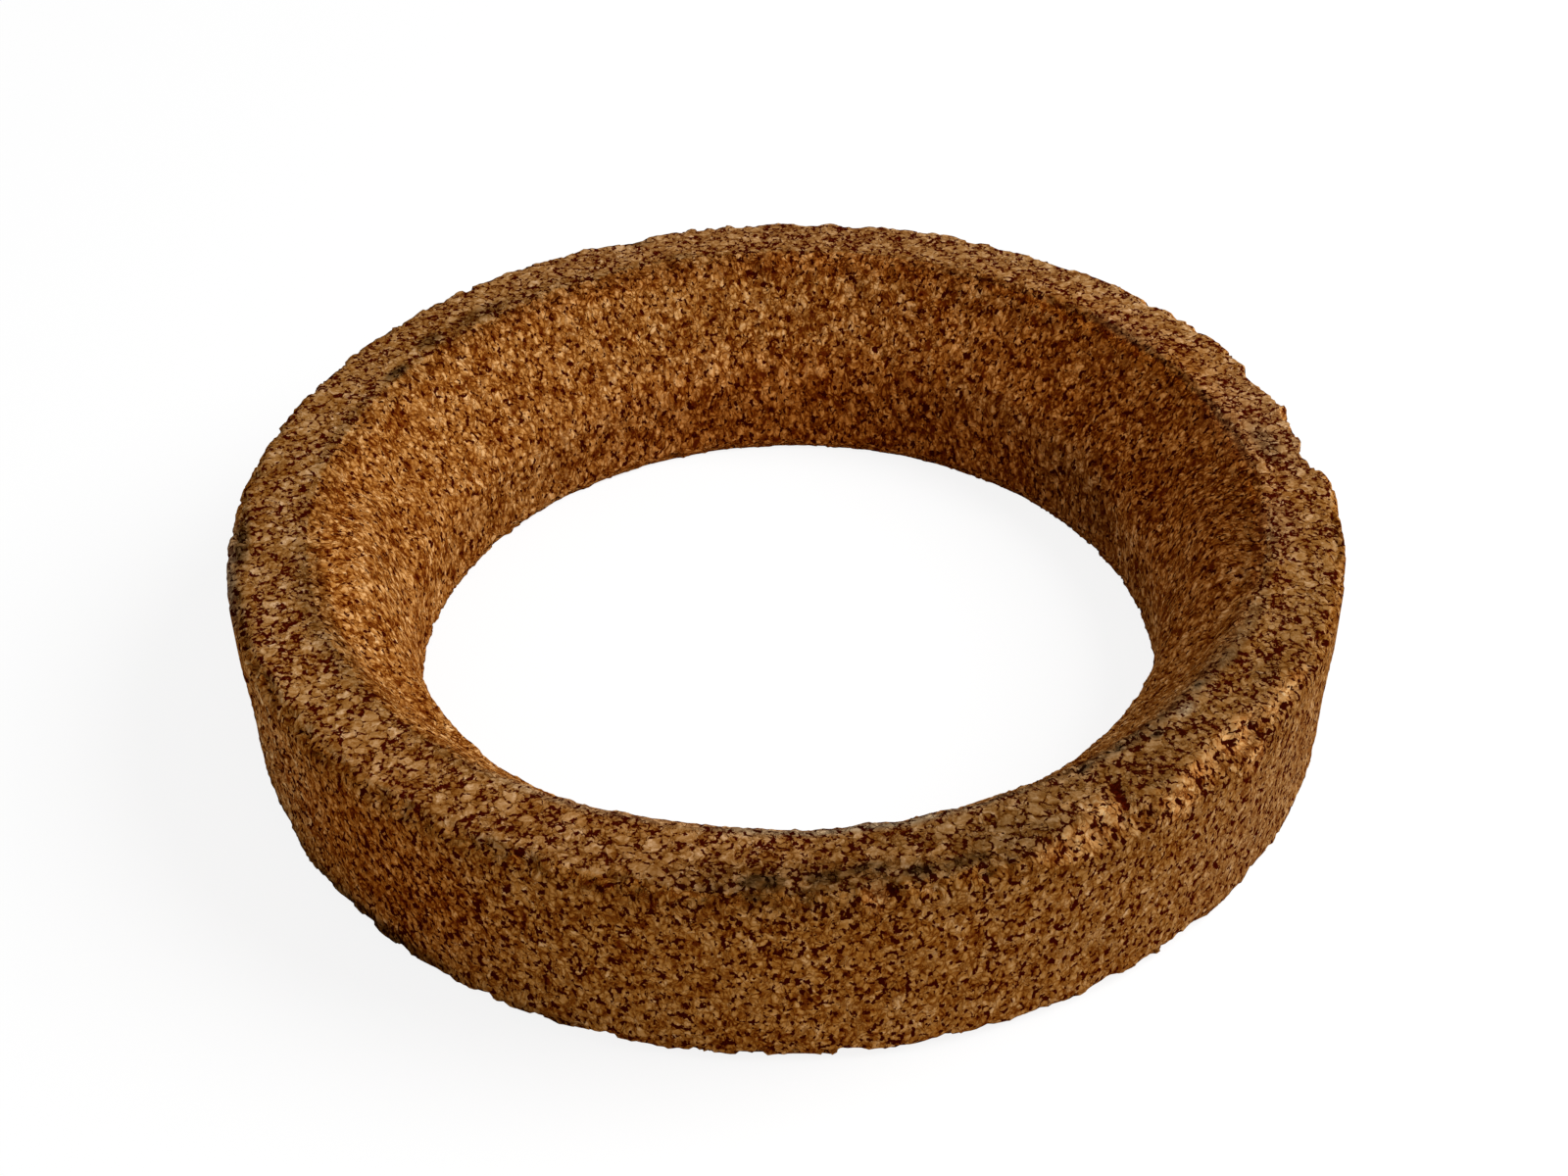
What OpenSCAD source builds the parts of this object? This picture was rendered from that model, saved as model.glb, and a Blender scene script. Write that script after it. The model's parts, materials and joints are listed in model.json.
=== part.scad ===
// Cork ring for standing a round-bottomed flask on a bench.
// One block of pressed cork granules, turned to a plain ring with a sloped seat that the
// flask sits in, above a straight bore. The ring is well used: its corners are rubbed
// round, and pieces of cork have broken away from its rim.
//
// The ring stands on its underside. The origin is the middle of the underside, +Z is up.
// Lengths are in millimetres and angles in degrees, turned from +X towards +Y.

/* [Ring] */
// Diameter of the straight bore
bore_d = 110.5; // [40:0.5:160]
// Width of the ring's wall, from the bore to the outside at the top face
wall_w = 24.75; // [21:0.25:40]
// Height of the ring
height = 30.5; // [25:0.5:45]
// How far the outside leans in from the top face to the underside
wall_draft = 1; // [0:0.1:3]

/* [Flask seat] */
// Width of the flat top face, from the outside to the seat's edge
top_land_w = 12; // [8:0.25:14]
// Depth of the seat below the top face, down to the straight bore
seat_depth = 15.5; // [10:0.5:18]

/* [Rubbed corners] */
// Rounding between the outside and the top face
rim_round = 2.4; // [0.5:0.1:3]
// Rounding between the top face and the seat
seat_edge_round = 3; // [0.5:0.1:4]
// Rounding between the seat and the bore
throat_round = 8; // [1:0.5:12]
// Rounding between the bore and the underside
bore_edge_round = 1.2; // [0.3:0.1:2.5]
// Rounding between the outside and the underside
foot_round = 2; // [0.5:0.1:3]

/* [Broken rim] */
// How deep the long break in the rim goes, square to the corner
break_bite = 2.6; // [0.5:0.1:4]
// Middle of the long break, as an angle round the ring
break_at = 307; // [0:1:359]
// How far round the ring the long break's two dips lie from its middle
break_spread = 8.5; // [3:0.5:12]
// Radius of the hollow that each dip leaves
break_hollow = 52; // [20:1:80]
// How deep a full chip goes into a corner
chip_bite = 2; // [0.5:0.1:2.5]
// Radius of the hollow that a full chip leaves
chip_hollow = 5; // [4:0.25:8]

/* [Hidden] */

$fn = 96;
chip_facets = 32;
cork_colour = [0.55, 0.38, 0.21];

bore_r = bore_d / 2;
outer_r = bore_r + wall_w;
foot_r = outer_r - wall_draft;
seat_r = outer_r - top_land_w;
throat_z = height - seat_depth;

// Turn of one step along a rounded corner
arc_step = 9;

// A hollow that lies square to the corner of the rim leans halfway up from level
square_lean = 45;

// Chips in the rim: [angle round the ring, lean of the hollow, depth and radius against a full
// chip]. A low lean takes more out of the side and less out of the top face.
rim_chips = [
    [6, 0, 1.7, 1.24], [10.5, -33, 1.25, 1.12], [13.5, 0, 1.4, 0.94],
    [19.5, -19, 1.3, 0.88], [21.5, -8, 1.55, 0.9], [25.7, -28, 0.72, 0.88],
    [32.7, square_lean, 0.7, 1.12], [36.3, square_lean, 0.85, 0.98], [40.3, square_lean, 0.85, 1.14],
    [53.5, square_lean, 1.1, 1.1], [61.9, square_lean, 0.93, 0.96], [65.5, square_lean, 0.85, 1.22],
    [80.3, square_lean, 0.93, 0.88], [85.8, square_lean, 0.94, 0.98],
    [108.7, square_lean, 1.3, 0.96], [111.7, square_lean, 1, 1.14],
    [152.5, square_lean, 0.83, 1.14], [277.3, square_lean, 0.95, 0.6],
];

// Chips in the foot: [angle round the ring, depth and radius against a full chip]
foot_chips = [
    [228.6, 0.6, 0.9], [251.5, 0.75, 0.8], [275.3, 0.8, 0.7], [284, 0.65, 0.9],
    [301.2, 0.85, 0.8], [310, 0.85, 0.9], [324, 0.7, 0.8],
];

function unit(v) = v / norm(v);
function turned(v, a) = [v.x * cos(a) - v.y * sin(a), v.x * sin(a) + v.y * cos(a)];

// The arc that rounds the corner at point b, between its neighbours a and c
function rounded_corner(a, b, c, radius) =
    let (
        to_a = unit(a - b),
        to_c = unit(c - b),
        half_angle = acos(to_a * to_c) / 2,
        centre = b + unit(to_a + to_c) * radius / sin(half_angle),
        first = b + to_a * radius / tan(half_angle) - centre,
        side = sign(cross(to_c, to_a)),
        turn = side * (180 - 2 * half_angle),
        steps = ceil(abs(turn) / arc_step)
    )
    [for (i = [0:steps]) centre + turned(first, turn * i / steps)];

// An outline from its sharp corners, each given as [[x, y], rounding]
function rounded_outline(corners) =
    let (count = len(corners))
    [
        for (i = [0:count - 1])
            each rounded_corner(
                corners[(i + count - 1) % count][0],
                corners[i][0],
                corners[(i + 1) % count][0],
                corners[i][1]
            )
    ];

// Section of the wall: radius along x, height along y
ring_section = rounded_outline([
    [[bore_r, 0], bore_edge_round],
    [[foot_r, 0], foot_round],
    [[outer_r, height], rim_round],
    [[seat_r, height], seat_edge_round],
    [[bore_r, throat_z], throat_round],
]);

// A ball that hollows a corner of the ring to the depth of bite. The corner is at the given
// radius and height, and the ball's middle lies out of it at the given lean above level.
module hollow(angle, corner_r, corner_z, lean, bite, ball_r) {
    reach = ball_r - bite;
    rotate([0, 0, angle])
        translate([corner_r + reach * cos(lean), 0, corner_z + reach * sin(lean)])
            sphere(r = ball_r);
}

// The long break, with a dip on each side of its middle
module long_break() {
    for (side = [-1, 1])
        hollow(break_at + side * break_spread, outer_r, height, square_lean, break_bite, break_hollow);
}

module rim_chipping() {
    for (chip = rim_chips)
        hollow(chip[0], outer_r, height, chip[1], chip_bite * chip[2], chip_hollow * chip[3], $fn = chip_facets);
}

module foot_chipping() {
    for (chip = foot_chips)
        hollow(chip[0], foot_r, 0, -square_lean, chip_bite * chip[1], chip_hollow * chip[2], $fn = chip_facets);
}

module cork_ring() {
    color(cork_colour)
        difference() {
            rotate_extrude() polygon(ring_section);
            long_break();
            rim_chipping();
            foot_chipping();
        }
}

cork_ring();
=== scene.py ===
import json
import math

import bmesh
import bpy
import numpy as np
from mathutils import Matrix, Vector


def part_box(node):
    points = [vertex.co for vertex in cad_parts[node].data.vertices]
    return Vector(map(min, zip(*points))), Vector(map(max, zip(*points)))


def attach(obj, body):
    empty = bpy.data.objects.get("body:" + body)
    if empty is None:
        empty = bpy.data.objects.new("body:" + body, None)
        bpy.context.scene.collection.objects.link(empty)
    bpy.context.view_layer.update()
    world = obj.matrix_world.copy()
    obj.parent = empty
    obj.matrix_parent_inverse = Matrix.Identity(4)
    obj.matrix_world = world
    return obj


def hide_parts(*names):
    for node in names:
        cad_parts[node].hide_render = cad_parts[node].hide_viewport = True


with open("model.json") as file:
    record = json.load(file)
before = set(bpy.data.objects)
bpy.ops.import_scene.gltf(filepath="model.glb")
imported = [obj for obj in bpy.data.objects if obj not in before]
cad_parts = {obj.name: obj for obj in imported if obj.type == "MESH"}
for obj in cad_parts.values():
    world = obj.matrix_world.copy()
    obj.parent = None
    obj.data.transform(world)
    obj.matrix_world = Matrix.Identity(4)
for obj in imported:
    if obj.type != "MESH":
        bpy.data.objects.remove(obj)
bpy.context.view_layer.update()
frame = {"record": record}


# ---------------------------------------------------------------- Camera
# It stands in front of the ring, a little over twice the ring's width away, and looks down on it
# into the seat, held a hair off level.
stage = bpy.context.scene
MM = 0.001
camera_elevation = math.radians(40.27)
camera_distance = 365.87 * MM
camera_tilt = math.radians(51.409)
camera_yaw = math.radians(0.076)
camera_roll = math.radians(-1.184)

lens = bpy.data.cameras.new("camera")
lens.sensor_width = 36
lens.lens = 55.076
lens.clip_start = 0.02
lens.clip_end = 20
camera = bpy.data.objects.new("camera", lens)
stage.collection.objects.link(camera)
camera_place = Vector((0, -math.cos(camera_elevation), math.sin(camera_elevation))) * camera_distance
camera.matrix_world = (
    Matrix.Translation(camera_place)
    @ Matrix.Rotation(camera_yaw, 4, "Z")
    @ Matrix.Rotation(camera_tilt, 4, "X")
    @ Matrix.Rotation(camera_roll, 4, "Z")
)
stage.camera = camera


# ---------------------------------------------------------------- Cork ring
# One ring of cork granules, pressed with a binder and turned to a plain section: an upright
# outside, a flat top, and a seat for the flask that slopes in to a straight bore. Handling
# has rubbed its corners round, stained it, and broken pieces of its rim away.

# The ring's radii and heights in millimetres, as turned
ring_mounts = {mount["name"]: mount for mount in frame["record"]["mounts"]}
bore_r = ring_mounts["bore"]["dims"]["r_mm"]
ring_h = round(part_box("cork_ring")[1].z / MM, 3)
rim_r = 80
foot_r = 79
seat_r = 68
throat_z = 15

# Each corner of the section, as radius and height, with the rounding that wear has left there
# and the number of steps that the rounding is made in
section_corners = [
    ((bore_r * MM, 0), 1.2 * MM, 4),
    ((foot_r * MM, 0), 2 * MM, 6),
    ((rim_r * MM, ring_h * MM), 2.4 * MM, 7),
    ((seat_r * MM, ring_h * MM), 3 * MM, 4),
    ((bore_r * MM, throat_z * MM), 8 * MM, 5),
]
# Steps of the mesh along the section, and its wedges round the bore with the steps in each
mesh_step = 0.58 * MM
bore_step = 0.95 * MM
hidden_step = 3 * MM
wedge_count = 17
wedge_steps = 43
# Points closer together than this are one point
same_point = 1e-6


def round_section(section):
    """Rounds each corner of the flat section by its own radius."""
    corners = list(section.verts)
    for i, (corner, rounding, steps) in enumerate(section_corners):
        before = Vector(section_corners[i - 1][0])
        here = Vector(corner)
        after = Vector(section_corners[(i + 1) % len(section_corners)][0])
        half_angle = (before - here).angle(after - here) / 2
        bmesh.ops.bevel(
            section, geom=[corners[i]], offset=rounding / math.tan(half_angle), offset_type="OFFSET",
            segments=steps, profile=0.5, affect="VERTICES", material=-1,
        )


def split_section(section):
    """Cuts the section's long edges into even steps, coarser in the bore and on the underside."""
    for edge in list(section.edges):
        ends = [vert.co for vert in edge.verts]
        step = mesh_step
        if max(end.x for end in ends) < bore_r * MM + same_point:
            step = bore_step
        if max(end.z for end in ends) < same_point:
            step = hidden_step
        cuts = round(edge.calc_length() / step) - 1
        if cuts > 0:
            bmesh.ops.subdivide_edges(section, edges=[edge], cuts=cuts)


def turn_ring():
    """Turns the section through one wedge, and repeats the wedge round the bore's axis."""
    ring = bmesh.new()
    ring.faces.new([ring.verts.new((radius, 0, z)) for (radius, z), _, _ in section_corners])
    ring.verts.ensure_lookup_table()
    round_section(ring)
    bmesh.ops.delete(ring, geom=list(ring.faces), context="FACES_ONLY")
    split_section(ring)
    wedge_angle = math.tau / wedge_count
    bmesh.ops.spin(
        ring, geom=ring.verts[:] + ring.edges[:], cent=(0, 0, 0), axis=(0, 0, 1),
        angle=wedge_angle, steps=wedge_steps,
    )
    bmesh.ops.spin(
        ring, geom=ring.verts[:] + ring.edges[:] + ring.faces[:], cent=(0, 0, 0), axis=(0, 0, 1),
        angle=math.tau - wedge_angle, steps=wedge_count - 1, use_duplicate=True,
    )
    bmesh.ops.remove_doubles(ring, verts=ring.verts, dist=same_point)
    bmesh.ops.recalc_face_normals(ring, faces=ring.faces)
    return ring


ring_bm = turn_ring()
ring_mesh = bpy.data.meshes.new("cork_ring_body")
ring_bm.to_mesh(ring_mesh)
ring_bm.free()
ring_mesh.shade_smooth()
cork_ring = bpy.data.objects.new("cork_ring_body", ring_mesh)
stage.collection.objects.link(cork_ring)

# Where each point of the cork lies, in millimetres
place = np.empty(3 * len(ring_mesh.vertices), np.float32)
ring_mesh.vertices.foreach_get("co", place)
place = place.reshape(-1, 3).astype(float) / MM


def soft_step(value, low, high):
    """Rises smoothly from 0 at low to 1 at high."""
    share = np.clip((value - low) / (high - low), 0, 1)
    return share * share * (3 - 2 * share)


def corner_ball(angle, corner, lean, bite, ball_r):
    """Centre and radius of a ball that hollows a corner of the ring to the depth of bite. Its centre
    lies out of the corner at the given lean above level."""
    reach = ball_r - bite
    turn = math.radians(angle)
    out = corner[0] + reach * math.cos(math.radians(lean))
    up = corner[1] + reach * math.sin(math.radians(lean))
    return np.array([out * math.cos(turn), out * math.sin(turn), up]), ball_r


rim_corner = (rim_r, ring_h)
foot_corner = (foot_r, 0)
# A hollow that lies square to its corner leans halfway up from level, or halfway down at the foot
square_lean = 45
# The long break, with a dip on each side of its middle: where the middle is and how far a dip lies
# from it, as angles round the ring, and the radius and depth of a dip
break_at = 307
break_spread = 8.5
break_hollow = 52
break_bite = 2.6
# Radius and depth of a full chip
chip_hollow = 5
chip_bite = 2
# Chips in the rim: angle round the ring, lean, depth and radius against a full chip
rim_chips = [
    (6, 0, 1.7, 1.24), (10.5, -33, 1.25, 1.12), (13.5, 0, 1.4, 0.94), (19.5, -19, 1.3, 0.88),
    (21.5, -8, 1.55, 0.9), (25.7, -28, 0.72, 0.88), (32.7, 45, 0.7, 1.12), (36.3, 45, 0.85, 0.98),
    (40.3, 45, 0.85, 1.14), (53.5, 45, 1.1, 1.1), (61.9, 45, 0.93, 0.96), (65.5, 45, 0.85, 1.22),
    (80.3, 45, 0.93, 0.88), (85.8, 45, 0.94, 0.98), (108.7, 45, 1.3, 0.96), (111.7, 45, 1, 1.14),
    (152.5, 45, 0.83, 1.14), (277.3, 45, 0.95, 0.6),
]
# Chips in the foot: angle round the ring, depth and radius against a full chip
foot_chips = [
    (228.6, 0.6, 0.9), (251.5, 0.75, 0.8), (275.3, 0.8, 0.7), (284, 0.65, 0.9), (301.2, 0.85, 0.8),
    (310, 0.85, 0.9), (324, 0.7, 0.8),
]
break_balls = [
    corner_ball(break_at + way * break_spread, rim_corner, square_lean, break_bite, break_hollow)
    for way in (-1, 1)
]
rim_balls = [
    corner_ball(angle, rim_corner, lean, chip_bite * depth, chip_hollow * width)
    for angle, lean, depth, width in rim_chips
]
foot_balls = [
    corner_ball(angle, foot_corner, -square_lean, chip_bite * depth, chip_hollow * width)
    for angle, depth, width in foot_chips
]


def hollow_out(place, centre, ball_r, upright):
    """Pushes what lies inside the ball on to its far face, in towards the bore's axis and by as much
    up, where upright is 1, or down, where it is -1. Returns how far each point went."""
    inward = -centre[:2] / np.linalg.norm(centre[:2])
    course = np.array([inward[0], inward[1], upright]) / math.sqrt(2)
    away = place - centre
    ahead = away @ course
    inside = np.maximum(ball_r ** 2 - np.sum(away ** 2, axis=1), 0)
    depth = np.where(inside > 0, np.sqrt(ahead ** 2 + inside) - ahead, 0)
    place += depth[:, None] * course
    return depth


# Points that are pushed in this far, in millimetres, show as wholly broken or chipped
broken_depth = 0.6
chipped_depth = 0.5
whole = place.copy()
broken = np.zeros(len(place))
for centre, ball_r in break_balls:
    gone = hollow_out(place, centre, ball_r, -1)
    broken = np.maximum(broken, soft_step(gone, 0, broken_depth))
chipped = np.zeros(len(place))
for balls, upright in ((rim_balls, -1), (foot_balls, 1)):
    for centre, ball_r in balls:
        gone = hollow_out(place, centre, ball_r, upright)
        chipped = np.maximum(chipped, soft_step(gone, 0, chipped_depth))

# A mark is at full strength inside its core and gone beyond its hem, as shares of its half size
mark_core = 0.35
mark_hem = 1.3


def marked(marks):
    """How strongly a list of marks reaches each point of the ring as it was before it was chipped.
    A mark is its angle round the ring in degrees, its radius and height, its half length round
    the ring, its half width across, and its strength."""
    angle = np.degrees(np.arctan2(whole[:, 1], whole[:, 0]))
    radius = np.hypot(whole[:, 0], whole[:, 1])
    total = np.zeros(len(whole))
    for mark_angle, mark_r, mark_z, half_length, half_width, strength in marks:
        turned = (angle - mark_angle + 180) % 360 - 180
        along = np.radians(turned) * mark_r / half_length
        across = np.hypot(radius - mark_r, whole[:, 2] - mark_z) / half_width
        reached = 1 - soft_step(np.hypot(along, across), mark_core, mark_hem)
        total = np.maximum(total, strength * reached)
    return total


def round_line(points, line_r, line_z, near, far):
    """1 along a line that runs right round the ring, as far out as near, and 0 beyond far."""
    radius = np.hypot(points[:, 0], points[:, 1])
    return 1 - soft_step(np.hypot(radius - line_r, points[:, 2] - line_z), near, far)


# Olive and black dirt, worked into the top at the front and the lip of the seat and here and there on
# the outer edge; darker cork on the foot at the left; and painted shade thinly low in the bore
dirt_and_shade_marks = [
    (267.3, 77.1, 30.4, 4.6, 1.9, 1.0), (273, 76.7, 30.4, 4.4, 1.7, 0.95),
    (277, 75.9, 30.4, 3.8, 1.7, 0.9), (278.3, 77.4, 30.3, 0.8, 0.7, 1.0),
    (281.5, 77.2, 30.4, 3.4, 1.5, 0.95), (286, 77.2, 30.4, 5.4, 1.5, 0.85),
    (272, 77, 30.4, 26, 4.5, 0.55), (291, 75.5, 30.5, 12, 6, 0.55), (274, 79.3, 29.2, 16, 2.4, 0.3),
    (307, 76.2, 30.5, 4.0, 1.8, 0.5), (327, 74.5, 30.5, 4.0, 2.4, 0.5), (300, 76, 30.5, 90, 8, 0.3),
    (298, 72.2, 30.4, 44, 4.5, 0.42), (302.5, 68.8, 30.1, 2.4, 1.1, 1.0),
    (307, 68.2, 29.9, 2.8, 1.3, 1.0), (311.8, 70.1, 30.4, 1.8, 1.0, 1.0),
    (321.5, 68.6, 30.0, 2.4, 1.2, 0.9), (327, 69.4, 30.3, 4.0, 1.4, 0.7),
    (332, 69.6, 30.4, 18, 1.4, 0.5), (300, 68.2, 29.9, 50, 0.9, 0.75),
    (322, 68.6, 29.9, 26, 2.2, 0.5), (346, 69.4, 30.4, 14, 1.4, 0.4), (9, 72.2, 30.5, 6, 2.2, 0.55),
    (28, 68.5, 30.1, 46, 0.9, 0.75), (62, 68.3, 30.0, 22, 0.9, 0.6),
    (104, 69.8, 30.4, 3, 1.6, 0.45), (108, 76.4, 30.4, 3, 1.4, 0.4),
    (124, 70.6, 30.5, 14, 2.2, 0.2), (118, 68.3, 29.9, 44, 2.2, 0.4),
    (133, 70.6, 30.5, 7, 2.2, 0.55), (142, 70.8, 30.5, 3.4, 2.0, 0.7),
    (150, 69.4, 30.3, 3.4, 1.4, 0.95), (164, 69.4, 30.4, 14, 1.2, 0.4),
    (200, 68.1, 29.7, 26, 3, 0.48), (232, 68.3, 29.9, 10, 2.0, 0.4),
    (271, 68.3, 29.9, 16, 2.0, 0.4), (309, 68.3, 30.0, 16, 2.4, 0.66), (280, 68, 29.8, 12, 3, 0.45),
    (186, 77.6, 30.0, 8, 1.5, 0.9), (196, 78.4, 29.6, 12, 1.6, 0.5), (206, 79.1, 1.5, 18, 2.6, 0.7),
    (224, 79.1, 2.0, 20, 2.8, 0.85), (244, 79.2, 1.2, 10, 1.6, 0.4),
    (278.7, 79.2, 29.2, 1.0, 1.1, 0.5), (46, 55.3, 8, 42, 9, 0.25), (33, 55.3, 8, 16, 9, 0.45),
    (120, 55.3, 6, 60, 7, 0.2), (352, 79.0, 29.7, 8, 1.6, 0.6),
]
# Pale rubbed cork with painted sheen: on the seat's lip at the front and the rim at the left, and a
# trace of it on the top at the right and the back and on the outside at the right
pale_marks = [
    (276, 68.3, 29.8, 24, 1.5, 0.8), (248, 68.3, 29.8, 18, 1.2, 0.5),
    (190, 79.4, 29.0, 13, 1.6, 0.9), (317, 70.0, 30.4, 2.0, 0.9, 0.8), (80, 76, 30.5, 82, 7, 0.12),
    (13, 74.5, 30.5, 17, 8, 0.2), (38, 70.5, 30.5, 9, 3, 0.15), (353, 70.5, 30.5, 8, 3, 0.22),
    (315, 68.3, 29.9, 44, 2.2, 0.12), (326, 79.3, 12, 24, 16, 0.14),
]
# Bright cork along the long break, and lighter cork on the outside at the left
fresh_marks = [
    (277.3, 79.3, 29.0, 1.6, 2.6, 1.0), (297, 78.6, 29.8, 8.0, 1.8, 1.0),
    (300.4, 76.4, 30.3, 3.2, 3.2, 1.0), (307.8, 79.4, 28.4, 3.4, 2.6, 0.9),
    (312, 78.4, 29.9, 6.0, 1.8, 1.0), (317.5, 77.8, 30.2, 7.5, 2.4, 1.0),
    (318.5, 79.7, 26.6, 3.0, 2.6, 0.8), (325.5, 78.4, 29.9, 6.0, 1.6, 0.9),
    (208, 79.7, 16, 17, 14, 0.75),
]
# Places where the granules have come apart: the split across the top and small tears near it
split_marks = [
    (301.6, 78.8, 29.8, 0.8, 1.0, 0.9), (302.2, 77.3, 30.3, 0.7, 1.1, 0.9),
    (302.8, 75.8, 30.4, 0.9, 1.2, 1.0), (303.0, 74.3, 30.5, 1.0, 1.2, 1.0),
    (303.4, 72.8, 30.5, 0.7, 1.0, 0.8), (278.9, 79.2, 29.4, 1.0, 0.9, 1.0),
    (310.9, 79.4, 28.8, 0.9, 1.2, 0.9), (320.4, 79.6, 27.6, 1.0, 1.8, 0.9),
    (295.4, 79.2, 29.2, 1.6, 0.8, 0.9), (307, 68.2, 29.9, 1.2, 0.9, 0.9),
    (302, 68.9, 30.1, 1.4, 0.7, 0.8), (312, 70.3, 30.4, 1.0, 0.7, 0.8),
]
# Darker, redder cork, mostly painted shade: on the seat at the right, low in the bore at the back, on
# the outside at the front left, and a trace of it on the top
shade_and_ruddy_marks = [
    (26, 62, 22, 60, 16, 0.56), (72, 55.5, 6, 54, 14, 0.66), (26, 67.4, 29.3, 60, 2.2, 0.8),
    (76, 67.4, 29.3, 36, 2.6, 0.5), (116, 67.4, 29.3, 30, 2.2, 0.35), (228, 79.5, 16, 22, 16, 0.5),
    (255, 74, 30.5, 36, 8, 0.16), (96, 75, 30.5, 50, 8, 0.12),
]
# Greyer, calmer cork on the outside at the front right
greyed_marks = [(322, 79.5, 14, 60, 26, 1.0)]
# Where the seat's own colour reaches further out over its lip, at the right and the back
lip_marks = [(26, 68, 30, 60, 5, 1.0), (84, 68, 30, 60, 5, 1.3)]
# The two sides of the seat, where the granules lie along it
side_marks = [(202, 62, 22, 30, 9, 1.0), (338, 62, 22, 30, 9, 1.0)]

# The cork is a little darker along the seat's lip right round
lip_darkening = 0.22
near_lip = round_line(whole, line_r=67.8, line_z=29.8, near=1.0, far=3.2)
dirt_and_shade = np.maximum(marked(dirt_and_shade_marks), lip_darkening * near_lip)
pale = marked(pale_marks)
split = marked(split_marks)
shade_and_ruddy = marked(shade_and_ruddy_marks)
greyed = marked(greyed_marks)

# The faces by their look: the seat with the bore, then the flat top, and the rest is the outside.
# The first two start at these heights, and the seat ends at its lip.
inner_start = 0.3, 1.5
top_start = 26, 28
lip_r = 68.3
lip_reach = 0.7
lip_blur = 0.4
# The top ends partway round its outer corner, where the radius is this much more than the height
top_end = 47.9, 49.1
radius = np.hypot(place[:, 0], place[:, 1])
height = place[:, 2]
lip_line = lip_r + lip_reach * marked(lip_marks)
inner = soft_step(height, *inner_start)
inner = inner * (1 - soft_step(radius, lip_line - lip_blur, lip_line + lip_blur))
top = soft_step(height, *top_start) * (1 - inner)
top = np.minimum(top, 1 - soft_step(radius - height, *top_end))

# Worn corners: radius, height, how far full wear and any wear reach, and strength
worn_corners = [
    (79.7, 30.2, 0.6, 2.6, 1), (79, 0, 0.6, 2.6, 1),
    (55.3, 0, 0.6, 2.4, 0.7), (68, 30.3, 0.6, 2.4, 0.3),
]
worn = np.maximum.reduce([
    strength * round_line(place, line_r, line_z, near, far)
    for line_r, line_z, near, far, strength in worn_corners
])
# Breaks and chips are a little fresher than the rest. Granules come away where the cork is bare, and
# are looser there and on the seat than on the top.
fresh = np.maximum.reduce([marked(fresh_marks), 0.25 * broken, 0.5 * chipped])
bare = np.clip(worn + 0.8 * fresh + chipped, 0, 1)
loose = 0.5 - 0.15 * top + 0.2 * inner + 0.5 * bare
# The underside stays flat, and the edge that the ring stands on even
off_floor = soft_step(height, 0.0, 0.4)
# Granules stand a little proud of the turned shape, but not of its widest and highest parts
proud = 0.3
widest_r = 79.88
pulled_in = 0.05
room = np.clip(np.minimum(widest_r - radius, ring_h - height), -pulled_in, proud)


def keep(name, values, kind="FLOAT", field="value"):
    """Keeps a value for each point of the ring's mesh, where the relief and the material read it."""
    store = ring_mesh.attributes.new(name, kind, "POINT")
    store.data.foreach_set(field, np.ascontiguousarray(values, np.float32).ravel())


ring_mesh.vertices.foreach_set("co", (place * MM).astype(np.float32).ravel())
# The pattern of granules is drawn out down the seat from its lip, and on its two sides also along
# it from the line across the ring where they are full size
pattern_lip_z = 30
pattern_side_y = -24
drawn_down = 0.15
drawn_down_sides = 0.2
drawn_along = 0.4
side = inner * marked(side_marks)
pattern = place.copy()
squeeze = 1 - drawn_down * inner - drawn_down_sides * side
pattern[:, 2] = pattern_lip_z - (pattern_lip_z - height) * squeeze
pattern[:, 1] -= drawn_along * side * (pattern[:, 1] - pattern_side_y)
keep("place", pattern, "FLOAT_VECTOR", "vector")
for name, values in (
    ("fresh", fresh), ("top", top), ("inner", inner), ("bare", bare), ("loose", loose),
    ("off_floor", off_floor), ("room", room), ("dirt_and_shade", dirt_and_shade), ("pale", pale), ("split", split),
    ("shade_and_ruddy", shade_and_ruddy), ("greyed", greyed),
):
    keep(name, values)


def feed(socket, source):
    """Joins a socket to another node's output, or sets it to a plain value."""
    if isinstance(source, bpy.types.NodeSocket):
        socket.id_data.links.new(source, socket)
    else:
        socket.default_value = source


def sum_up(tree, operation, *values):
    """Adds a Math node and returns its result."""
    node = tree.nodes.new("ShaderNodeMath")
    node.operation = operation
    for socket, value in zip(node.inputs, values):
        feed(socket, value)
    return node.outputs[0]


def move(tree, operation, *values):
    """Adds a Vector Math node and returns its result."""
    node = tree.nodes.new("ShaderNodeVectorMath")
    node.operation = operation
    for socket, value in zip(node.inputs, values):
        feed(socket, value)
    return node.outputs["Value" if operation == "LENGTH" else "Vector"]


def spread(tree, value, low, high, to_low=0, to_high=1, kind="SMOOTHSTEP"):
    """Carries a value from one range to another, and holds it at the ends."""
    node = tree.nodes.new("ShaderNodeMapRange")
    node.interpolation_type = kind
    for name, source in (
        ("Value", value), ("From Min", low), ("From Max", high),
        ("To Min", to_low), ("To Max", to_high),
    ):
        feed(node.inputs[name], source)
    return node.outputs["Result"]


def noise_at(tree, where, size, detail=1, rough=0.5):
    """A soft noise whose lumps are about size millimetres across."""
    node = tree.nodes.new("ShaderNodeTexNoise")
    feed(node.inputs["Vector"], where)
    node.inputs["Scale"].default_value = 1 / size
    node.inputs["Detail"].default_value = detail
    node.inputs["Roughness"].default_value = rough
    return node


def cells_at(tree, where, size, feature="F1"):
    """Cells about size millimetres across."""
    node = tree.nodes.new("ShaderNodeTexVoronoi")
    node.feature = feature
    feed(node.inputs["Vector"], where)
    node.inputs["Scale"].default_value = 1 / size
    return node


def three(tree, source):
    """The three parts of a colour or a place."""
    node = tree.nodes.new("ShaderNodeSeparateXYZ")
    feed(node.inputs[0], source)
    return node.outputs


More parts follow.
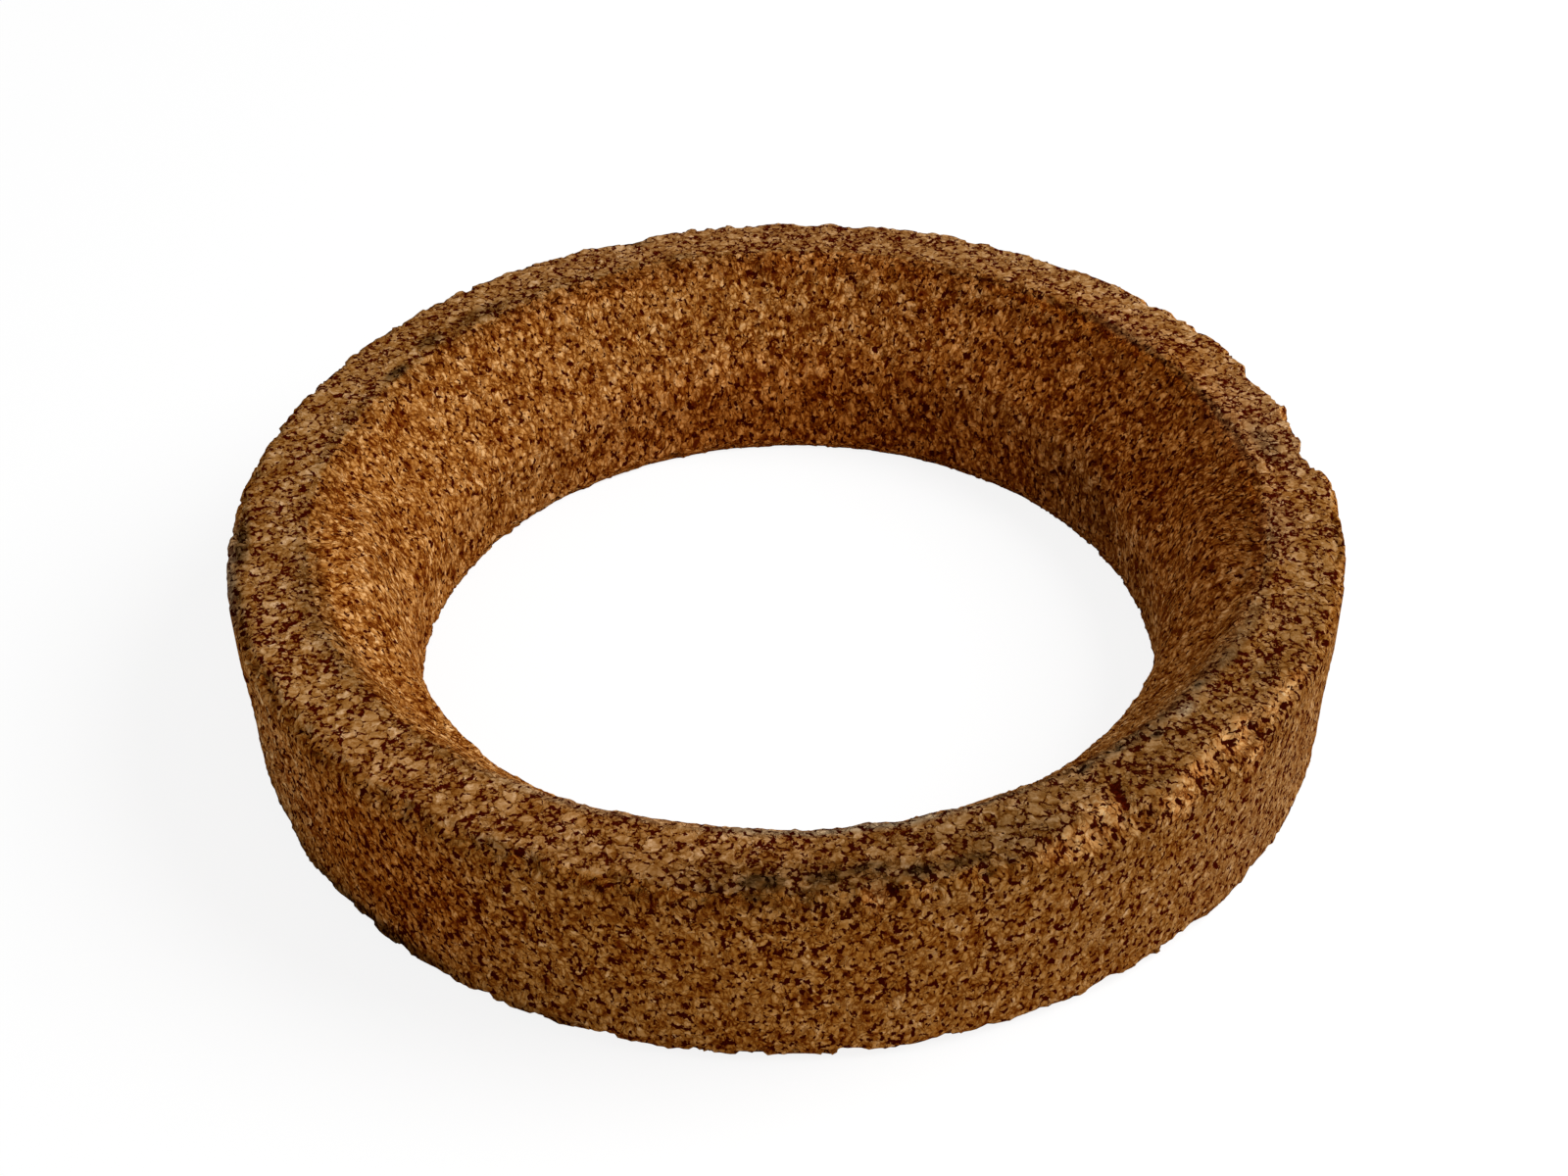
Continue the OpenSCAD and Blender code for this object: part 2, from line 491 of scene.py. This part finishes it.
# Sizes in millimetres: a granule, a crumb inside it, and the lumps of the two noises that bend and
# fray the edges between them, with how far each carries an edge
granule_size = 1.8
crumb_size = 0.95
bend_size = 2.1
bend_reach = 1.6
fray_size = 0.5
fray_reach = 0.6
# How wide a granule is against its height
granule_width = 0.75
# The middle of a noise's values
noise_middle = (0.5, 0.5, 0.5)


def cork_granules(tree, place, top):
    """Breaks the cork up into granules, and the granules into crumbs. Gives the place in the pattern
    as it is and as it is bent, three random numbers for the granule, three for the crumb, the
    crumb's own random colour, and the distance to the nearest edge in millimetres."""
    where = move(tree, "MULTIPLY", place, (1, 1, granule_width))
    bend = move(tree, "SUBTRACT", noise_at(tree, where, bend_size).outputs["Color"], noise_middle)
    fray = move(tree, "SUBTRACT", noise_at(tree, where, fray_size).outputs["Color"], noise_middle)
    bent = move(tree, "MULTIPLY_ADD", bend, (bend_reach,) * 3, where)
    bent = move(tree, "MULTIPLY_ADD", fray, (fray_reach,) * 3, bent)
    granule_cell = cells_at(tree, bent, granule_size)
    crumb_cell = cells_at(tree, bent, crumb_size)
    granule_edge = cells_at(tree, bent, granule_size, "DISTANCE_TO_EDGE").outputs["Distance"]
    crumb_edge = cells_at(tree, bent, crumb_size, "DISTANCE_TO_EDGE").outputs["Distance"]
    granule_edge = sum_up(tree, "MULTIPLY", granule_edge, granule_size)
    crumb_edge = sum_up(tree, "MULTIPLY", crumb_edge, crumb_size)
    granule = three(tree, granule_cell.outputs["Color"])
    crumb = three(tree, crumb_cell.outputs["Color"])
    # On the flat top a third of the granules are whole, elsewhere they are cut up into crumbs
    uncut = spread(tree, granule[0], 0.65, 0.69, 0, 1, "LINEAR")
    uncut = sum_up(tree, "MULTIPLY", uncut, top)
    crumb_edge = sum_up(tree, "MULTIPLY_ADD", uncut, 0.5, crumb_edge)
    edge = sum_up(tree, "MINIMUM", granule_edge, crumb_edge)
    return where, bent, granule, crumb, crumb_cell.outputs["Color"], edge


# The relief in millimetres: how deep the groove along an edge is and how far it reaches in, how
# deep a granule is sunk, a crumb is broken out and a whole granule is gone, how far a split opens
# and how much the surface swells from place to place
groove_depth = 0.26
groove_reach = 0.4
sunk_depth = 0.26
crumbled_depth = 0.3
missing_depth = 0.75
split_depth = 0.6
swell_size = 7
swell_depth = 0.3


def granule_relief():
    """Sinks the edges of the granules into the ring's surface, and leaves out a few granules."""
    tree = bpy.data.node_groups.new("granule_relief", "GeometryNodeTree")
    tree.interface.new_socket("Ring", in_out="INPUT", socket_type="NodeSocketGeometry")
    tree.interface.new_socket("Ring", in_out="OUTPUT", socket_type="NodeSocketGeometry")
    start = tree.nodes.new("NodeGroupInput")
    end = tree.nodes.new("NodeGroupOutput")

    def read(name, kind="FLOAT"):
        """Reads a value that is kept on the ring's mesh."""
        node = tree.nodes.new("GeometryNodeInputNamedAttribute")
        node.data_type = kind
        node.inputs["Name"].default_value = name
        return node.outputs["Attribute"]

    place, top = read("place", "FLOAT_VECTOR"), read("top")
    where, _, granule, crumb, _, edge = cork_granules(tree, place, top)
    bare = read("bare")
    groove = spread(tree, edge, 0, groove_reach, groove_depth, 0)
    sunk = sum_up(tree, "MULTIPLY", sum_up(tree, "POWER", granule[2], 2), sunk_depth)
    crumbled = spread(tree, crumb[1], 0.85, 0.9, 0, crumbled_depth)
    depth = sum_up(tree, "ADD", groove, sum_up(tree, "ADD", sunk, crumbled))
    depth = sum_up(tree, "MULTIPLY", depth, read("loose"))
    # Where the cork is bare, a quarter of the granules have come away whole
    missing = spread(tree, granule[1], 0.72, 0.76, 0, missing_depth)
    depth = sum_up(tree, "MULTIPLY_ADD", missing, bare, depth)
    depth = sum_up(tree, "MULTIPLY_ADD", read("split"), split_depth, depth)
    swell = noise_at(tree, where, swell_size, 2).outputs["Fac"]
    depth = sum_up(tree, "ADD", depth, spread(tree, swell, 0.42, 0.7, 0, swell_depth))
    # All of it is sunk from the height that granules stand proud, no higher than there is room
    depth = sum_up(tree, "SUBTRACT", depth, proud)
    depth = sum_up(tree, "MAXIMUM", depth, sum_up(tree, "MULTIPLY", read("room"), -1))
    depth = sum_up(tree, "MULTIPLY", depth, read("off_floor"))
    outward = tree.nodes.new("GeometryNodeInputNormal").outputs["Normal"]
    shift = tree.nodes.new("ShaderNodeVectorMath")
    shift.operation = "SCALE"
    feed(shift.inputs[0], outward)
    feed(shift.inputs["Scale"], sum_up(tree, "MULTIPLY", depth, -MM))
    place_set = tree.nodes.new("GeometryNodeSetPosition")
    feed(place_set.inputs["Geometry"], start.outputs[0])
    feed(place_set.inputs["Offset"], shift.outputs[0])
    feed(end.inputs[0], place_set.outputs[0])
    return tree


relief = cork_ring.modifiers.new("granules", "NODES")
relief.node_group = granule_relief()
bpy.context.view_layer.update()
carved_ring = cork_ring.evaluated_get(bpy.context.evaluated_depsgraph_get())
ring_mesh = bpy.data.meshes.new_from_object(carved_ring)
cork_ring.modifiers.clear()
cork_ring.data = ring_mesh
ring_mesh.name = "cork_ring_body"


def paint(red, green, blue):
    """A colour as mixed on a screen, 0 to 255 a channel, as the renderer's plain light values."""
    shares = [value / 255 for value in (red, green, blue)]
    light = [
        share / 12.92 if share < 0.04045 else ((share + 0.055) / 1.055) ** 2.4
        for share in shares
    ]
    return light + [1]


# Colours of the cork from its darkest grain to its lightest, in even steps
outside_cork = [(96, 34, 4), (146, 82, 20), (179, 118, 49), (206, 148, 83), (234, 184, 128)]
top_cork = [(84, 32, 3), (130, 76, 21), (161, 110, 53), (189, 142, 90), (224, 182, 138)]
seat_cork = [(97, 38, 5), (144, 82, 22), (184, 122, 56), (214, 156, 92), (242, 191, 132)]
broken_cork = [(84, 16, 0), (148, 74, 18), (210, 138, 70), (246, 184, 112), (255, 222, 168)]
grime_and_shade_colours = [(20, 7, 1), (50, 30, 11), (98, 70, 39)]
chalk_and_sheen_shades = [(82, 71, 50), (212, 199, 168)]
# The tint that reddens the cork and paints its shade, and a pit's painted shade at its edge, in its
# depth, and where dirt and painted shade lie
shade_and_ruddy_tint = (250, 195, 80)
pit_shade_at_edge = (90, 20, 2)
pit_shade_in_depth = (58, 8, 1)
pit_in_dirt_and_shade = (24, 7, 1)
# Sizes of the patterns' lumps in millimetres: where gaps open, where seams darken, the grain inside
# a crumb, the mottling, the drift of the shade over several granules, and patches of bright cork
gap_size = 0.8
seam_size = 1.4
grain_size = 0.46
mottle_size = 0.88
cloud_size = 5
patch_size = 3
# How wide the grain is against its length
grain_width = 0.4
# About one full turn, in radians
full_turn = 6.3
# Relief too fine for the mesh, in millimetres
seam_relief = -0.03
grain_relief = 0.05
mottle_relief = 0.10
pit_relief = -0.09


def cork_material():
    """Pressed cork: granules in their own shades, the pits and seams between them, and the dirt,
    wear and fresh breaks that the ring's attributes mark out."""
    cork = bpy.data.materials.new("cork")
    cork.use_nodes = True
    tree = cork.node_tree
    surface = tree.nodes["Principled BSDF"]

    def read(name, output="Fac"):
        """Reads a value that is kept on the ring's mesh."""
        node = tree.nodes.new("ShaderNodeAttribute")
        node.attribute_name = name
        return node.outputs[output]

    def mixed(amount, first, second, blend="MIX"):
        """Lays the second colour over the first by the given amount."""
        node = tree.nodes.new("ShaderNodeMix")
        node.data_type = "RGBA"
        node.blend_type = blend
        feed(node.inputs["Factor"], amount)
        feed(node.inputs[6], first)
        feed(node.inputs[7], second)
        return node.outputs[2]

    def shades(value, colours):
        """Carries a value of 0 to 1 through the colours, in even steps."""
        node = tree.nodes.new("ShaderNodeValToRGB")
        feed(node.inputs["Fac"], value)
        ramp = node.color_ramp.elements
        ramp[0].color = paint(*colours[0])
        ramp[1].color = paint(*colours[-1])
        for i, colour in enumerate(colours[1:-1], 1):
            ramp.new(i / (len(colours) - 1)).color = paint(*colour)
        return node.outputs["Color"]

    top = read("top")
    inner = read("inner")
    fresh = read("fresh")
    dirt_and_shade = read("dirt_and_shade")
    pale = read("pale")
    split = read("split")
    shade_and_ruddy = read("shade_and_ruddy")
    greyed = read("greyed")
    place = read("place", "Vector")
    where, bent, granule, crumb, crumb_colour, edge = cork_granules(tree, place, top)

    # Gaps open here and there along the granules' edges: short cracks on the top, pits elsewhere
    openness = noise_at(tree, where, gap_size, 2, 0.5).outputs["Fac"]
    for part, more in ((split, 0.16), (inner, -0.035), (shade_and_ruddy, 0.03), (top, 0.06)):
        openness = sum_up(tree, "MULTIPLY_ADD", part, more, openness)
    widest = sum_up(tree, "MULTIPLY_ADD", inner, 0.08, spread(tree, top, 0, 1, 0.42, 0.19, "LINEAR"))
    softness = sum_up(tree, "MULTIPLY_ADD", inner, 0.02, spread(tree, top, 0, 1, 0.1, 0.06, "LINEAR"))
    width = spread(tree, openness, 0.53, 0.68, 0.0, widest)
    reach = sum_up(tree, "SUBTRACT", width, edge)
    pit = spread(tree, reach, sum_up(tree, "MULTIPLY", softness, -1), softness)
    # A split tears the cork open across its granules
    torn = spread(tree, sum_up(tree, "MULTIPLY_ADD", openness, 1.6, split), 1.45, 1.75)
    pit = sum_up(tree, "MAXIMUM", pit, torn)

    # Seams where the granules meet are darker, with painted shade towards each granule's edge, more
    # in some places than in others, and faint on the top
    seam_wave = noise_at(tree, where, seam_size, 1).outputs["Fac"]
    near_edge = spread(tree, edge, 0.0, 0.34, 1, 0)
    seam_and_shade = sum_up(tree, "MULTIPLY", near_edge, spread(tree, seam_wave, 0.36, 0.6, 0.35, 1))
    seam_and_shade = sum_up(tree, "MULTIPLY", seam_and_shade, spread(tree, top, 0, 1, 1.0, 0.7, "LINEAR"))

    # The grain of each crumb runs its own way
    turn = tree.nodes.new("ShaderNodeVectorRotate")
    turn.rotation_type = "EULER_XYZ"
    feed(turn.inputs["Vector"], bent)
    feed(turn.inputs["Rotation"], move(tree, "MULTIPLY", crumb_colour, (full_turn,) * 3))
    along = move(tree, "MULTIPLY", turn.outputs[0], (1, grain_width, 1))
    grain = noise_at(tree, along, grain_size).outputs["Fac"]
    mottle = noise_at(tree, bent, mottle_size, 2, 0.6).outputs["Fac"]
    cloud = noise_at(tree, where, cloud_size, 2, 0.5).outputs["Fac"]

    # How light the cork is, 0 to 1: by granule and crumb, by each pattern with its strength and the
    # offset that keeps the middle in place, darker in a seam and lighter where it is fresh
    tone = sum_up(tree, "MULTIPLY_ADD", granule[1], 0.2, sum_up(tree, "MULTIPLY", crumb[2], 0.3))
    for pattern, strength, offset in ((grain, 0.9, -0.07), (mottle, 1.0, -0.5), (cloud, 0.4, -0.2)):
        tone = sum_up(tree, "ADD", tone, sum_up(tree, "MULTIPLY_ADD", pattern, strength, offset))
    tone = sum_up(tree, "MULTIPLY_ADD", seam_and_shade, -0.42, tone)
    tone = sum_up(tree, "MULTIPLY_ADD", fresh, 0.16, tone)
    # It is drawn towards its middle where the cork is calmer, and away from it on redder cork in
    # painted shade
    calm = sum_up(tree, "MULTIPLY_ADD", top, 0.06, spread(tree, inner, 0, 1, 0.08, -0.1, "LINEAR"))
    calm = sum_up(tree, "MULTIPLY_ADD", greyed, 0.2, calm)
    calm = sum_up(tree, "MULTIPLY_ADD", shade_and_ruddy, -0.25, calm)
    middle_tone = 0.53
    tone = sum_up(tree, "MULTIPLY_ADD", sum_up(tree, "SUBTRACT", middle_tone, tone), calm, tone)

    # The cork's own colour on each face, with ragged borders, where it is bright, and where it is
    # redder and in painted shade
    outside = shades(tone, outside_cork)
    flat = shades(tone, top_cork)
    sloped = shades(tone, seat_cork)
    bright = shades(tone, broken_cork)
    ragged = sum_up(tree, "MULTIPLY_ADD", seam_wave, 1.6, -0.8)
    flat_share = spread(tree, sum_up(tree, "ADD", top, ragged), 0.3, 0.7)
    seat_share = spread(tree, sum_up(tree, "SUBTRACT", inner, ragged), 0.3, 0.7)
    base = mixed(sum_up(tree, "MAXIMUM", flat_share, greyed), outside, flat)
    base = mixed(seat_share, base, sloped)
    patchy = spread(tree, noise_at(tree, where, patch_size, 1).outputs["Fac"], 0.4, 0.58, 0.5, 1)
    base = mixed(sum_up(tree, "MULTIPLY", fresh, patchy), base, bright)
    base = mixed(shade_and_ruddy, base, mixed(1.0, base, paint(*shade_and_ruddy_tint), "MULTIPLY"))

    # Then dirt and painted shade, pale places and painted sheen, and the pits' painted shade over all
    # Dirt, and the painted shade low in the bore, draw the cork towards these dark colours
    dirt_and_shade_share = sum_up(tree, "MULTIPLY", dirt_and_shade, spread(tree, seam_wave, 0.3, 0.6, 0.7, 1.0))
    grime_and_shade = shades(tone, grime_and_shade_colours)
    base = mixed(sum_up(tree, "MINIMUM", dirt_and_shade_share, 0.94), base, grime_and_shade)
    # Pale rubbed places, with their painted sheen
    chalk_and_sheen = shades(tone, chalk_and_sheen_shades)
    base = mixed(sum_up(tree, "MULTIPLY", pale, 0.55), base, chalk_and_sheen)
    # A pit is painted dark as the shade inside it, darker further in
    pit_shade = mixed(spread(tree, reach, 0.0, 0.16), paint(*pit_shade_at_edge), paint(*pit_shade_in_depth))
    base = mixed(pit, base, mixed(dirt_and_shade, pit_shade, paint(*pit_in_dirt_and_shade)))
    feed(surface.inputs["Base Color"], base)
    surface.inputs["Roughness"].default_value = 0.9
    surface.inputs["Specular IOR Level"].default_value = 0

    relief = sum_up(tree, "MULTIPLY", seam_and_shade, seam_relief)
    for pattern, rise in ((grain, grain_relief), (mottle, mottle_relief), (pit, pit_relief)):
        relief = sum_up(tree, "ADD", relief, sum_up(tree, "MULTIPLY", pattern, rise))
    bump = tree.nodes.new("ShaderNodeBump")
    bump.inputs["Strength"].default_value = 1
    bump.inputs["Distance"].default_value = MM
    feed(bump.inputs["Height"], relief)
    feed(surface.inputs["Normal"], bump.outputs["Normal"])
    return cork


ring_mesh.materials.append(cork_material())
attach(cork_ring, "root")
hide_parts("cork_ring")


# ---------------------------------------------------------------- Floor and light
# A plain white floor under the ring, a large soft lamp high on its right, and pale air all round.
# Looked at, the floor is bright by itself and keeps a weak shadow of the ring. To the light that
# falls on it and goes on to the ring, it is plain white.
floor_reach = 3
shadow_grey = 0.18
plain_grey = 0.95
floor_mesh = bpy.data.meshes.new("floor")
floor_bm = bmesh.new()
bmesh.ops.create_grid(floor_bm, x_segments=1, y_segments=1, size=floor_reach)
floor_bm.to_mesh(floor_mesh)
floor_bm.free()
floor = bpy.data.objects.new("floor", floor_mesh)
stage.collection.objects.link(floor)

floor_paint = bpy.data.materials.new("white_floor")
floor_paint.use_nodes = True
floor_tree = floor_paint.node_tree
floor_tree.nodes.remove(floor_tree.nodes["Principled BSDF"])
light_path = floor_tree.nodes.new("ShaderNodeLightPath")
seen_white = floor_tree.nodes.new("ShaderNodeEmission")
# Far from the ring, where the lamp's light falls off, the floor is a little whiter by itself
near_floor, far_floor = 0.2, 1.2
near_white, far_white = 0.86, 0.95
away = move(floor_tree, "LENGTH", floor_tree.nodes.new("ShaderNodeTexCoord").outputs["Object"])
bright = spread(floor_tree, away, near_floor, far_floor, near_white, far_white)
feed(seen_white.inputs["Color"], bright)
seen_shade = floor_tree.nodes.new("ShaderNodeBsdfDiffuse")
seen_shade.inputs["Color"].default_value = (shadow_grey, shadow_grey, shadow_grey, 1)
plain_white = floor_tree.nodes.new("ShaderNodeBsdfDiffuse")
plain_white.inputs["Color"].default_value = (plain_grey, plain_grey, plain_grey, 1)
both = floor_tree.nodes.new("ShaderNodeAddShader")
feed(both.inputs[0], seen_white.outputs[0])
feed(both.inputs[1], seen_shade.outputs[0])
in_mirror, in_glass = light_path.outputs["Is Glossy Ray"], light_path.outputs["Is Transmission Ray"]
looked_at = sum_up(floor_tree, "MAXIMUM", in_mirror, in_glass)
looked_at = sum_up(floor_tree, "MAXIMUM", light_path.outputs["Is Camera Ray"], looked_at)
choice = floor_tree.nodes.new("ShaderNodeMixShader")
feed(choice.inputs[0], looked_at)
feed(choice.inputs[1], plain_white.outputs[0])
feed(choice.inputs[2], both.outputs[0])
feed(floor_tree.nodes["Material Output"].inputs["Surface"], choice.outputs[0])
floor_mesh.materials.append(floor_paint)

# The air is plain white where it is looked at, and lights the ring with a third of that
air_light = 0.336
air = bpy.data.worlds.new("air")
air.use_nodes = True
air_tree = air.node_tree
air_tree.nodes["Background"].inputs["Color"].default_value = (1, 1, 1, 1)
air_seen = air_tree.nodes.new("ShaderNodeLightPath").outputs["Is Camera Ray"]
air_strength = spread(air_tree, air_seen, 0, 1, air_light, 1, "LINEAR")
feed(air_tree.nodes["Background"].inputs["Strength"], air_strength)
stage.world = air

# The lamp, in metres and watts
key = bpy.data.lights.new("key", "AREA")
key.shape = "DISK"
key.size = 0.7
key.energy = 8.64
key_lamp = bpy.data.objects.new("key", key)
key_lamp.location = (0.7, 0, 0.72)
key_lamp.rotation_euler = Vector(key_lamp.location).to_track_quat("Z", "Y").to_euler()
stage.collection.objects.link(key_lamp)

stage.view_settings.view_transform = "Standard"
